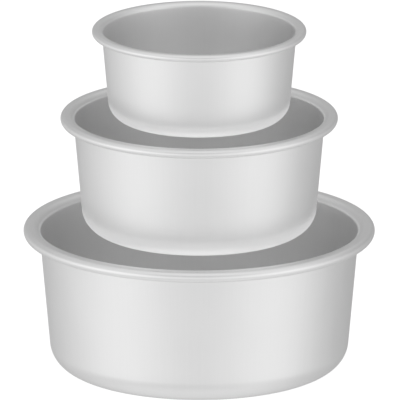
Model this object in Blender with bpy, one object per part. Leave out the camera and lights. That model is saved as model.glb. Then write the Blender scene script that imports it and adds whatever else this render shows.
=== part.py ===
"""Graded set of three round cake pans with loose bases, in satin anodised aluminium sheet.

Each pan is a drawn side shell and a base plate. The shell's rim flares out and is curled over into a
hollow bead, its wall tapers, and its rounded bottom corner turns in to a narrow ledge. The base plate
rests on the ledge and lifts out upwards. The pans stand on one axis, with each base just below the rim
of the pan underneath. Metres, +Z up, origin at the centre of the large pan's underside.
"""

import math
from dataclasses import dataclass

import bmesh
import bpy

MM = 0.001
SEGMENTS = 40

SHEET = 1.0 * MM
PLATE = 1.2 * MM
GAP = 0.3 * MM
TAPER = 0.09

LEDGE_WIDTH = 7.5 * MM
PLATE_EDGE_CLEARANCE = 1.0 * MM
STEP_DEPTH = 0.8 * MM
STEP_INSET = 1.0 * MM
STEP_RUN = 1.2 * MM

CORNER_STEPS = 4
FLARE_STEPS = 3
CURL_STEPS = 6
CURL_SWEEP = math.radians(285)

SIDE_COLOUR = (0.78, 0.78, 0.78, 1.0)
SIDE_ROUGHNESS = 0.36
BASE_COLOUR = (0.74, 0.74, 0.74, 1.0)
BASE_ROUGHNESS = 0.42
SHARP_ANGLE = math.radians(35)


@dataclass
class Pan:
    """One pan's sizes. wall_radius is the wall's outer radius, carried up to the height of the rim."""

    name: str
    height: float
    wall_radius: float
    rim_radius: float
    corner_radius: float
    flare_radius: float
    curl_radius: float
    base_below_rim: float = 0.0


LARGE = Pan("large", 117.0 * MM, 129.4 * MM, 141.7 * MM, 21.0 * MM, 6.2 * MM, 4.35 * MM)
MEDIUM = Pan("medium", 96.5 * MM, 101.7 * MM, 111.7 * MM, 19.0 * MM, 5.4 * MM, 3.6 * MM, 3.5 * MM)
SMALL = Pan("small", 74.6 * MM, 78.7 * MM, 86.2 * MM, 15.0 * MM, 4.4 * MM, 2.85 * MM, 3.2 * MM)
STACK = (LARGE, MEDIUM, SMALL)


def clear_scene():
    for obj in list(bpy.context.scene.objects):
        bpy.data.objects.remove(obj, do_unlink=True)


def arc(centre, radius, start, sweep, steps):
    """Points along an arc in the radius and height plane, both ends included."""
    angles = [start + sweep * i / steps for i in range(steps + 1)]
    return [(centre[0] + radius * math.cos(a), centre[1] + radius * math.sin(a)) for a in angles]


def direction(a, b):
    length = math.hypot(b[0] - a[0], b[1] - a[1])
    return ((b[0] - a[0]) / length, (b[1] - a[1]) / length)


def offset(line, distance):
    """The line moved to its left by distance, with mitred corners."""
    moved = []
    for i, point in enumerate(line):
        before = direction(line[max(i - 1, 0)], line[max(i, 1)])
        after = direction(line[min(i, len(line) - 2)], line[min(i + 1, len(line) - 1)])
        normal = (-before[1] - after[1], before[0] + after[0])
        reach = 2 * distance / (normal[0] ** 2 + normal[1] ** 2)
        moved.append((point[0] + normal[0] * reach, point[1] + normal[1] * reach))
    return moved


def sheet_outline(line, thickness):
    """A closed outline of sheet metal that follows its centre line."""
    return offset(line, thickness / 2) + offset(line, -thickness / 2)[::-1]


def floor_radius(pan):
    """Where the flat underside ends and the rounded bottom corner starts."""
    foot_radius = pan.wall_radius - TAPER * pan.height
    lean = math.atan(TAPER)
    return foot_radius + TAPER * pan.corner_radius - pan.corner_radius / math.cos(lean)


def ledge_hole_radius(pan):
    return floor_radius(pan) - LEDGE_WIDTH


def side_line(pan):
    """Centre line of the shell's sheet, from the ledge's inner edge to the end of the curled rim."""
    half = SHEET / 2
    lean = math.atan(TAPER)
    flat_end = floor_radius(pan)
    corner_middle = (flat_end, pan.corner_radius)
    corner = arc(corner_middle, pan.corner_radius - half, -math.pi / 2, math.pi / 2 - lean, CORNER_STEPS)

    flare_height = pan.height - pan.flare_radius
    wall_inside = pan.wall_radius - TAPER * pan.flare_radius - SHEET / math.cos(lean)
    flare_middle = (wall_inside + pan.flare_radius / math.cos(lean), flare_height)
    flare_sweep = -(math.pi / 2 - lean)
    flare = arc(flare_middle, pan.flare_radius - half, math.pi - lean, flare_sweep, FLARE_STEPS)

    curl_middle = (pan.rim_radius - pan.curl_radius, pan.height - pan.curl_radius)
    curl = arc(curl_middle, pan.curl_radius - half, math.pi / 2, -CURL_SWEEP, CURL_STEPS)
    return [(ledge_hole_radius(pan), half)] + corner + flare + curl


def base_line(pan):
    """Centre line of the base plate: the middle drops into the ledge's hole, and the edge rests on the ledge."""
    edge_height = SHEET + GAP + PLATE / 2
    middle_height = edge_height - STEP_DEPTH
    step_top = ledge_hole_radius(pan) - STEP_INSET
    return [
        (0.0, middle_height),
        (step_top - STEP_RUN, middle_height),
        (step_top, edge_height),
        (floor_radius(pan) - PLATE_EDGE_CLEARANCE, edge_height),
    ]


def turned(name, outline):
    """A mesh made by turning a closed outline about the Z axis."""
    mesh = bpy.data.meshes.new(name)
    shape = bmesh.new()
    corners = [shape.verts.new((radius, 0.0, height)) for radius, height in outline]
    on_axis = outline[0][0] == 0.0
    pairs = list(zip(corners, corners[1:]))
    if not on_axis:
        pairs.append((corners[-1], corners[0]))
    edges = [shape.edges.new(pair) for pair in pairs]
    bmesh.ops.spin(
        shape,
        geom=corners + edges,
        cent=(0.0, 0.0, 0.0),
        axis=(0.0, 0.0, 1.0),
        angle=2 * math.pi,
        steps=SEGMENTS,
        use_merge=True,
    )
    bmesh.ops.remove_doubles(shape, verts=shape.verts, dist=0.001 * MM)
    bmesh.ops.recalc_face_normals(shape, faces=shape.faces)
    shape.to_mesh(mesh)
    shape.free()
    mesh.shade_smooth()
    mesh.set_sharp_from_angle(angle=SHARP_ANGLE)
    return mesh


def anodised(name, colour, roughness):
    material = bpy.data.materials.new(name)
    material.use_nodes = True
    shader = material.node_tree.nodes["Principled BSDF"]
    shader.inputs["Base Color"].default_value = colour
    shader.inputs["Metallic"].default_value = 1.0
    shader.inputs["Roughness"].default_value = roughness
    return material


def add_piece(name, outline, material, holder):
    mesh = turned(name, outline)
    mesh.materials.append(material)
    piece = bpy.data.objects.new(name, mesh)
    bpy.context.scene.collection.objects.link(piece)
    piece.parent = holder
    return piece


def add_pan(pan, foot_height):
    """One pan, held by an empty at the middle of its underside."""
    holder = bpy.data.objects.new(f"{pan.name}_pan", None)
    holder.location = (0.0, 0.0, foot_height)
    bpy.context.scene.collection.objects.link(holder)

    side = f"{pan.name}_side"
    side_material = anodised(f"{side}_aluminium", SIDE_COLOUR, SIDE_ROUGHNESS)
    add_piece(side, sheet_outline(side_line(pan), SHEET), side_material, holder)

    base = f"{pan.name}_base"
    base_material = anodised(f"{base}_aluminium", BASE_COLOUR, BASE_ROUGHNESS)
    add_piece(base, sheet_outline(base_line(pan), PLATE), base_material, holder)


def build():
    clear_scene()
    rim_height = 0.0
    for pan in STACK:
        foot_height = rim_height - pan.base_below_rim
        add_pan(pan, foot_height)
        rim_height = foot_height + pan.height
    bpy.context.view_layer.update()


build()
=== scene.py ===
"""Finished look of the graded cake pan set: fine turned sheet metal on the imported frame, on a pale floor."""

import math
from dataclasses import dataclass

import bmesh
import bpy
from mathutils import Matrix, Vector


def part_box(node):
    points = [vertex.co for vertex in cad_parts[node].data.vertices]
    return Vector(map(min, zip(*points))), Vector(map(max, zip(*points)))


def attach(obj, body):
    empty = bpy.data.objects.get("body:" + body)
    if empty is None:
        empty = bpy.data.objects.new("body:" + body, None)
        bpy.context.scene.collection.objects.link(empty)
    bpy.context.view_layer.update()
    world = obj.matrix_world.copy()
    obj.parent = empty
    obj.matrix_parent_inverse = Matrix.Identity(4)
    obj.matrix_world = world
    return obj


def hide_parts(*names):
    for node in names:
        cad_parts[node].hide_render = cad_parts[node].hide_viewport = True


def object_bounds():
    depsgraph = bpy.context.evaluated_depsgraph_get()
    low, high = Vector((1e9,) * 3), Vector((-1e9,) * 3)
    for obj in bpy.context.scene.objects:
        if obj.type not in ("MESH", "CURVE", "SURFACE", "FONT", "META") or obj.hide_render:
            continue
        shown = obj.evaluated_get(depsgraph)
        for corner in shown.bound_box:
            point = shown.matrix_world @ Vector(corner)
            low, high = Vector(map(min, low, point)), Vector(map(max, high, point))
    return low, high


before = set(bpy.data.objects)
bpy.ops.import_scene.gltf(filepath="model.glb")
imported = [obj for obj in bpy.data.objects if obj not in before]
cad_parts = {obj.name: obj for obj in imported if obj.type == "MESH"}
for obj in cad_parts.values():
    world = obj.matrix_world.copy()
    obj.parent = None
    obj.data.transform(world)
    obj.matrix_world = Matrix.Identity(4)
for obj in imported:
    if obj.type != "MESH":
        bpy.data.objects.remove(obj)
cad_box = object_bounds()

MM = 0.001

# Sheet metal, as in the CAD.
SHEET = 1.0 * MM
PLATE = 1.2 * MM
TAPER = 0.09
LEDGE_WIDTH = 7.5 * MM
PLATE_EDGE_CLEARANCE = 1.0 * MM
STEP_DEPTH = 0.8 * MM
STEP_INSET = 1.0 * MM
STEP_RUN = 1.2 * MM
CURL_SWEEP = math.radians(285)

# Fineness of the turned meshes.
SEGMENTS = 256
CORNER_STEPS = 24
FLARE_STEPS = 16
CURL_STEPS = 40
WALL_STEPS = 16
CUT_EDGE_STEPS = 6
SHARP_ANGLE = math.radians(40)

# Anodised aluminium.
SIDE_GREY = 0.84
BASE_GREY = 0.84
SIDE_ROUGHNESS = 0.38
BASE_ROUGHNESS = 0.40
# Texture scales: streaks round the side, their stretch up it, rings on the base, etched grain, cloudiness.
STREAKS_AROUND = 90.0
STREAK_RISE = 14.0
RING_SCALE = 1400.0
GRAIN_SCALE = 1800.0
CLOUD_SCALE = 22.0
BUMP_STRENGTH = 0.12
BUMP_DEPTH = 0.01 * MM

# Camera: a long lens, a little above the rims.
CAMERA_DISTANCE = 12.0
CAMERA_ELEVATION = math.radians(15.9)
PICTURE_WIDTH = 400 / 1240
AIM_HEIGHT_SHARE = 0.489
AIM_SIDE = 0.65 * MM
SENSOR_WIDTH = 36.0

# Studio.
BOUNCES = 12
FLOOR_RADIUS = 7.0
FLOOR_DROP = 0.1 * MM
FLOOR_GREY = 0.35
FLOOR_GLOW = 0.85
FLOOR_ROUGHNESS = 0.9
FLOOR_SEGMENTS = 64
CLIP_END = 100.0
ROOM_WHITE = 1.0

# Brightness of the studio at each elevation in degrees, at azimuths of 0, 60, 120, 180, 240 and 300 degrees
# from the front, turning towards +X.
LIGHT_RINGS = {
    -90: (0.81, 0.81, 0.81, 0.81, 0.81, 0.81),
    -60: (0.80, 0.88, 0.77, 0.74, 0.84, 0.88),
    -40: (0.61, 0.82, 0.57, 0.53, 0.69, 0.75),
    -20: (0.83, 1.13, 0.55, 0.35, 0.72, 1.16),
    0: (0.97, 1.26, 0.57, 0.38, 0.80, 1.36),
    20: (0.32, 0.94, 0.40, 0.43, 0.52, 0.88),
    40: (0.76, 0.95, 0.63, 0.63, 0.66, 0.84),
    60: (0.93, 0.91, 0.78, 0.71, 0.78, 0.90),
    90: (0.85, 0.85, 0.85, 0.85, 0.85, 0.85),
}
BRIGHTEST = 4.0
# Each lobe is this power of a cosine, and the six of them add up to LOBE_SUM all round.
LOBE_POWER = 4.0
LOBE_SUM = 1.125

# Soft lights under the upper pans.
RISER_GAP = 1.0 * MM
RISER_CLEARANCE = 3.0 * MM
RISER_RADIANCE = 0.51


@dataclass
class Pan:
    """One pan, as measured on its CAD nodes, with the bend radii of its sheet."""

    name: str
    foot: float
    height: float
    rim_radius: float
    floor_radius: float
    corner_radius: float
    flare_radius: float
    curl_radius: float

    @property
    def lean(self):
        return math.atan(TAPER)

    @property
    def wall_radius(self):
        """The wall's outer radius, carried up to the height of the rim."""
        corner_run = self.corner_radius / math.cos(self.lean) - TAPER * self.corner_radius
        return self.floor_radius + corner_run + TAPER * self.height

    @property
    def hole_radius(self):
        return self.floor_radius - LEDGE_WIDTH


def read_pan(name, corner_radius, flare_radius, curl_radius):
    side_low, side_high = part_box(f"{name}_side")
    base_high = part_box(f"{name}_base")[1]
    return Pan(
        name,
        side_low.z,
        side_high.z - side_low.z,
        side_high.x,
        base_high.x + PLATE_EDGE_CLEARANCE,
        corner_radius,
        flare_radius,
        curl_radius,
    )


def arc(centre, radius, start, sweep, steps):
    """Points along an arc in the radius and height plane, both ends included."""
    angles = [start + sweep * i / steps for i in range(steps + 1)]
    return [(centre[0] + radius * math.cos(a), centre[1] + radius * math.sin(a)) for a in angles]


def straight(start, end, steps):
    """Points between two ends, both left out."""
    shares = [i / steps for i in range(1, steps)]
    return [(start[0] + (end[0] - start[0]) * t, start[1] + (end[1] - start[1]) * t) for t in shares]


def direction(a, b):
    length = math.hypot(b[0] - a[0], b[1] - a[1])
    return ((b[0] - a[0]) / length, (b[1] - a[1]) / length)


def offset(line, distance):
    """The line moved to its left by distance, with mitred corners."""
    moved = []
    for i, point in enumerate(line):
        before = direction(line[max(i - 1, 0)], line[max(i, 1)])
        after = direction(line[min(i, len(line) - 2)], line[min(i + 1, len(line) - 1)])
        normal = (-before[1] - after[1], before[0] + after[0])
        reach = 2 * distance / (normal[0] ** 2 + normal[1] ** 2)
        moved.append((point[0] + normal[0] * reach, point[1] + normal[1] * reach))
    return moved


def rounded_cut(end, outwards, thickness):
    """Points round a deburred cut edge, from the sheet's left side to its right side, both left out."""
    turn = math.atan2(outwards[1], outwards[0])
    return arc(end, thickness / 2, turn + math.pi / 2, -math.pi, CUT_EDGE_STEPS)[1:-1]


def sheet_outline(line, thickness, first_cut=True):
    """A closed outline of sheet metal that follows its centre line, with rounded cut edges."""
    left = offset(line, thickness / 2)
    right = offset(line, -thickness / 2)
    last_out = direction(line[-2], line[-1])
    outline = left + rounded_cut(line[-1], last_out, thickness) + right[::-1]
    if first_cut:
        first_out = direction(line[1], line[0])
        outline += rounded_cut(line[0], first_out, thickness)
    return outline


def side_line(pan):
    """Centre line of the side's sheet, from the ledge's inner edge to the end of the curled rim."""
    half = SHEET / 2
    corner_middle = (pan.floor_radius, pan.corner_radius)
    corner_sweep = math.pi / 2 - pan.lean
    corner = arc(corner_middle, pan.corner_radius - half, -math.pi / 2, corner_sweep, CORNER_STEPS)

    wall_inside = pan.wall_radius - TAPER * pan.flare_radius - SHEET / math.cos(pan.lean)
    flare_middle = (wall_inside + pan.flare_radius / math.cos(pan.lean), pan.height - pan.flare_radius)
    flare = arc(flare_middle, pan.flare_radius - half, math.pi - pan.lean, -corner_sweep, FLARE_STEPS)

    curl_middle = (pan.rim_radius - pan.curl_radius, pan.height - pan.curl_radius)
    curl = arc(curl_middle, pan.curl_radius - half, math.pi / 2, -CURL_SWEEP, CURL_STEPS)

    ledge_start = (pan.hole_radius + half, half)
    ledge = [ledge_start] + straight(ledge_start, corner[0], 4)
    wall = straight(corner[-1], flare[0], WALL_STEPS)
    rim_top = straight(flare[-1], curl[0], 3)
    return ledge + corner + wall + flare + rim_top + curl


def base_line(pan):
    """Centre line of the base plate, from the axis to its edge, with a soft step down into the ledge's hole."""
    base_low, base_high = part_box(f"{pan.name}_base")
    edge_height = base_high.z - pan.foot - PLATE / 2
    middle_height = edge_height - STEP_DEPTH
    step_end = pan.hole_radius - STEP_INSET
    step_start = step_end - STEP_RUN
    plate_edge = (base_high.x - PLATE / 2, edge_height)
    steps = 8
    step = []
    for i in range(steps + 1):
        share = i / steps
        rise = share * share * (3 - 2 * share)
        step.append((step_start + STEP_RUN * share, middle_height + STEP_DEPTH * rise))
    axis_point = (0.0, middle_height)
    middle = straight(axis_point, step[0], 6)
    edge = straight(step[-1], plate_edge, 4)
    return [axis_point] + middle + step + edge + [plate_edge]


def turned(name, outline, foot):
    """An object made by turning a closed outline about the Z axis, with its underside at foot."""
    shape = bmesh.new()
    corners = [shape.verts.new((radius, 0.0, height + foot)) for radius, height in outline]
    pairs = list(zip(corners, corners[1:]))
    if outline[0][0] > 0.0:
        pairs.append((corners[-1], corners[0]))
    edges = [shape.edges.new(pair) for pair in pairs]
    bmesh.ops.spin(
        shape,
        geom=corners + edges,
        cent=(0.0, 0.0, 0.0),
        axis=(0.0, 0.0, 1.0),
        angle=2 * math.pi,
        steps=SEGMENTS,
        use_merge=True,
    )
    bmesh.ops.remove_doubles(shape, verts=shape.verts, dist=0.0005 * MM)
    bmesh.ops.recalc_face_normals(shape, faces=shape.faces)
    mesh = bpy.data.meshes.new(name)
    shape.to_mesh(mesh)
    shape.free()
    mesh.shade_smooth()
    mesh.set_sharp_from_angle(angle=SHARP_ANGLE)
    piece = bpy.data.objects.new(name, mesh)
    bpy.context.scene.collection.objects.link(piece)
    return piece


def node(tree, kind, inputs=None, **settings):
    """A shader node with its settings, and its inputs set or linked by name or number."""
    made = tree.nodes.new(kind)
    for name, value in settings.items():
        setattr(made, name, value)
    for socket, value in (inputs or {}).items():
        if isinstance(value, bpy.types.NodeSocket):
            tree.links.new(value, made.inputs[socket])
        else:
            made.inputs[socket].default_value = value
    return made


def maths(tree, operation, a, b=0.0):
    return node(tree, "ShaderNodeMath", {0: a, 1: b}, operation=operation).outputs[0]


def noise(tree, vector, scale, detail=2.0):
    made = node(tree, "ShaderNodeTexNoise", {"Vector": vector, "Scale": scale, "Detail": detail})
    return made.outputs["Fac"]


def spread(tree, value, low, high):
    """A noise value, which stays near a half, stretched to the range from low to high."""
    inputs = {"Value": value, "From Min": 0.3, "From Max": 0.7, "To Min": low, "To Max": high}
    return node(tree, "ShaderNodeMapRange", inputs).outputs["Result"]


def draw_lines(tree, place):
    """Streaks up a side, a millimetre or two wide, as a drawing die leaves them."""
    flat = node(tree, "ShaderNodeVectorMath", {0: place, 1: (1.0, 1.0, 0.0)}, operation="MULTIPLY")
    around = node(tree, "ShaderNodeVectorMath", {0: flat.outputs[0]}, operation="NORMALIZE")
    spun = node(tree, "ShaderNodeVectorMath", {0: around.outputs[0], 3: STREAKS_AROUND}, operation="SCALE")
    rise = node(tree, "ShaderNodeVectorMath", {0: place, 1: (0.0, 0.0, STREAK_RISE)}, operation="MULTIPLY")
    joined = node(tree, "ShaderNodeVectorMath", {0: spun.outputs[0], 1: rise.outputs[0]}, operation="ADD")
    return noise(tree, joined.outputs[0], 1.0, 3.0)


def turning_lines(tree, place):
    """Fine rings about the axis, as on a blank cut and pressed on a lathe."""
    flat = node(tree, "ShaderNodeVectorMath", {0: place, 1: (1.0, 1.0, 0.0)}, operation="MULTIPLY")
    radius = node(tree, "ShaderNodeVectorMath", {0: flat.outputs[0]}, operation="LENGTH").outputs["Value"]
    along = node(tree, "ShaderNodeCombineXYZ", {"X": maths(tree, "MULTIPLY", radius, RING_SCALE)})
    return noise(tree, along.outputs[0], 1.0, 2.0)


def satin_aluminium(name, grey, roughness, lines):
    """Satin anodised sheet: fine etched grain, tool lines and slow cloudiness in tone and gloss."""
    material = bpy.data.materials.new(name)
    material.use_nodes = True
    tree = material.node_tree
    shader = tree.nodes["Principled BSDF"]
    place = node(tree, "ShaderNodeTexCoord").outputs["Object"]
    tool = lines(tree, place)
    grain = noise(tree, place, GRAIN_SCALE, 3.0)
    cloud = noise(tree, place, CLOUD_SCALE, 2.0)

    tone = maths(tree, "ADD", spread(tree, tool, -0.006, 0.006), spread(tree, cloud, -0.008, 0.008))
    level = maths(tree, "ADD", tone, grey)
    colour = node(tree, "ShaderNodeCombineColor", {"Red": level, "Green": level, "Blue": level})
    tree.links.new(colour.outputs["Color"], shader.inputs["Base Color"])

    gloss = maths(tree, "ADD", spread(tree, tool, -0.02, 0.02), spread(tree, grain, -0.02, 0.02))
    gloss = maths(tree, "ADD", gloss, spread(tree, cloud, -0.015, 0.015))
    tree.links.new(maths(tree, "ADD", gloss, roughness), shader.inputs["Roughness"])

    relief = maths(tree, "ADD", spread(tree, tool, 0.0, 0.5), spread(tree, grain, 0.0, 0.5))
    bump = node(tree, "ShaderNodeBump", {"Height": relief, "Strength": BUMP_STRENGTH, "Distance": BUMP_DEPTH})
    tree.links.new(bump.outputs["Normal"], shader.inputs["Normal"])
    shader.inputs["Metallic"].default_value = 1.0
    return material


def add_piece(node_name, outline, foot, material):
    """A fine piece that stands for one CAD node and moves with that node's body."""
    piece = turned(f"{node_name}_sheet", outline, foot)
    piece.data.materials.append(material)
    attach(piece, node_name)
    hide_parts(node_name)
    return piece


def add_pans():
    side_metal = satin_aluminium("anodised_side", SIDE_GREY, SIDE_ROUGHNESS, draw_lines)
    base_metal = satin_aluminium("anodised_base", BASE_GREY, BASE_ROUGHNESS, turning_lines)
    pans = (
        read_pan("large", 21.0 * MM, 6.2 * MM, 4.35 * MM),
        read_pan("medium", 19.0 * MM, 5.4 * MM, 3.6 * MM),
        read_pan("small", 15.0 * MM, 4.4 * MM, 2.85 * MM),
    )
    for pan in pans:
        side = sheet_outline(side_line(pan), SHEET)
        add_piece(f"{pan.name}_side", side, pan.foot, side_metal)
        base = sheet_outline(base_line(pan), PLATE, first_cut=False)
        add_piece(f"{pan.name}_base", base, pan.foot, base_metal)
    return pans


def add_floor(height):
    """A plain pale light table, seen by the camera. The metal mirrors the studio's lower half instead."""
    mesh = bpy.data.meshes.new("floor")
    shape = bmesh.new()
    bmesh.ops.create_circle(shape, cap_ends=True, segments=FLOOR_SEGMENTS, radius=FLOOR_RADIUS)
    shape.to_mesh(mesh)
    shape.free()
    floor = bpy.data.objects.new("floor", mesh)
    floor.location.z = height - FLOOR_DROP
    floor.visible_glossy = False
    floor.visible_shadow = False
    bpy.context.scene.collection.objects.link(floor)
    material = bpy.data.materials.new("pale_floor")
    material.use_nodes = True
    shader = material.node_tree.nodes["Principled BSDF"]
    shader.inputs["Base Color"].default_value = (FLOOR_GREY, FLOOR_GREY, FLOOR_GREY, 1.0)
    shader.inputs["Roughness"].default_value = FLOOR_ROUGHNESS
    shader.inputs["Specular IOR Level"].default_value = 0.0
    shader.inputs["Emission Color"].default_value = (1.0, 1.0, 1.0, 1.0)
    shader.inputs["Emission Strength"].default_value = FLOOR_GLOW
    mesh.materials.append(material)


def ring_share(tree, elevation, levels):
    """The brightness at one azimuth, as a ramp over the elevation."""
    ramp = node(tree, "ShaderNodeValToRGB", {0: elevation})
    stops = ramp.color_ramp.elements
    while len(stops) < len(levels):
        stops.new(0.5)
    for stop, (angle, level) in zip(stops, levels):
        stop.position = angle / 180 + 0.5
        share = level / BRIGHTEST
        stop.color = (share, share, share, 1.0)
    return ramp.outputs["Color"]


def add_studio():
    """Soft light from all round, set by rings of elevation with six soft lobes of azimuth each.

    Past the floor's edge the room is seen as plain white, like the floor.
    """
    world = bpy.data.worlds.new("studio")
    world.use_nodes = True
    bpy.context.scene.world = world
    tree = world.node_tree
    background = tree.nodes["Background"]
    ray = node(tree, "ShaderNodeTexCoord").outputs["Generated"]
    split = node(tree, "ShaderNodeSeparateXYZ", {0: ray})
    rise = maths(tree, "ARCSINE", split.outputs["Z"])
    elevation = node(tree, "ShaderNodeMath", {0: rise, 1: 1 / math.pi, 2: 0.5}, operation="MULTIPLY_ADD").outputs[0]
    flat = node(tree, "ShaderNodeVectorMath", {0: ray, 1: (1.0, 1.0, 0.0)}, operation="MULTIPLY")
    heading = node(tree, "ShaderNodeVectorMath", {0: flat.outputs[0]}, operation="NORMALIZE").outputs[0]
    total = 0.0
    lobes = len(LIGHT_RINGS[0])
    for lobe in range(lobes):
        azimuth = 2 * math.pi * lobe / lobes
        axis = (math.sin(azimuth), -math.cos(azimuth), 0.0)
        along = node(tree, "ShaderNodeVectorMath", {0: heading, 1: axis}, operation="DOT_PRODUCT")
        facing = along.outputs["Value"]
        weight = maths(tree, "POWER", maths(tree, "MAXIMUM", facing, 0.0), LOBE_POWER)
        levels = [(angle, LIGHT_RINGS[angle][lobe]) for angle in sorted(LIGHT_RINGS)]
        light = ring_share(tree, elevation, levels)
        total = maths(tree, "ADD", maths(tree, "MULTIPLY", weight, light), total)
    strength = maths(tree, "MULTIPLY", total, BRIGHTEST / LOBE_SUM)
    seen = node(tree, "ShaderNodeLightPath").outputs["Is Camera Ray"]
    shown = node(tree, "ShaderNodeMix", {"Factor": seen, "A": strength, "B": ROOM_WHITE}).outputs["Result"]
    tree.links.new(shown, background.inputs["Strength"])
    background.inputs["Color"].default_value = (1.0, 1.0, 1.0, 1.0)


def add_riser_glow(pan, above):
    """Soft light up onto the foot of the pan above, as from a white riser standing in this one."""
    height = above.foot - RISER_GAP
    light = bpy.data.lights.new(f"{pan.name}_riser_glow", "AREA")
    light.shape = "DISK"
    wall_inside = pan.wall_radius - TAPER * (pan.foot + pan.height - height) - SHEET
    radius = wall_inside - RISER_CLEARANCE
    light.size = 2 * radius
    light.energy = RISER_RADIANCE * math.pi * math.pi * radius ** 2
    lamp = bpy.data.objects.new(light.name, light)
    lamp.location.z = height
    lamp.rotation_euler.x = math.pi
    lamp.visible_camera = False
    bpy.context.scene.collection.objects.link(lamp)
    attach(lamp, f"{pan.name}_side")


def add_camera(low, high):
    camera_data = bpy.data.cameras.new("camera")
    camera_data.sensor_width = SENSOR_WIDTH
    camera_data.lens = SENSOR_WIDTH * CAMERA_DISTANCE / PICTURE_WIDTH
    camera_data.clip_end = CLIP_END
    camera = bpy.data.objects.new("camera", camera_data)
    aim = Vector((AIM_SIDE, 0.0, low.z + (high.z - low.z) * AIM_HEIGHT_SHARE))
    back = Vector((0.0, -math.cos(CAMERA_ELEVATION), math.sin(CAMERA_ELEVATION)))
    camera.location = aim + back * CAMERA_DISTANCE
    camera.rotation_euler = (-back).to_track_quat("-Z", "Y").to_euler()
    bpy.context.scene.collection.objects.link(camera)
    bpy.context.scene.camera = camera


low, high = cad_box
pans = add_pans()
add_floor(low.z)
add_studio()
for pan, above in zip(pans, pans[1:]):
    add_riser_glow(pan, above)
add_camera(low, high)
bpy.context.scene.view_settings.view_transform = "Standard"
bpy.context.scene.cycles.max_bounces = BOUNCES
bpy.context.scene.cycles.glossy_bounces = BOUNCES
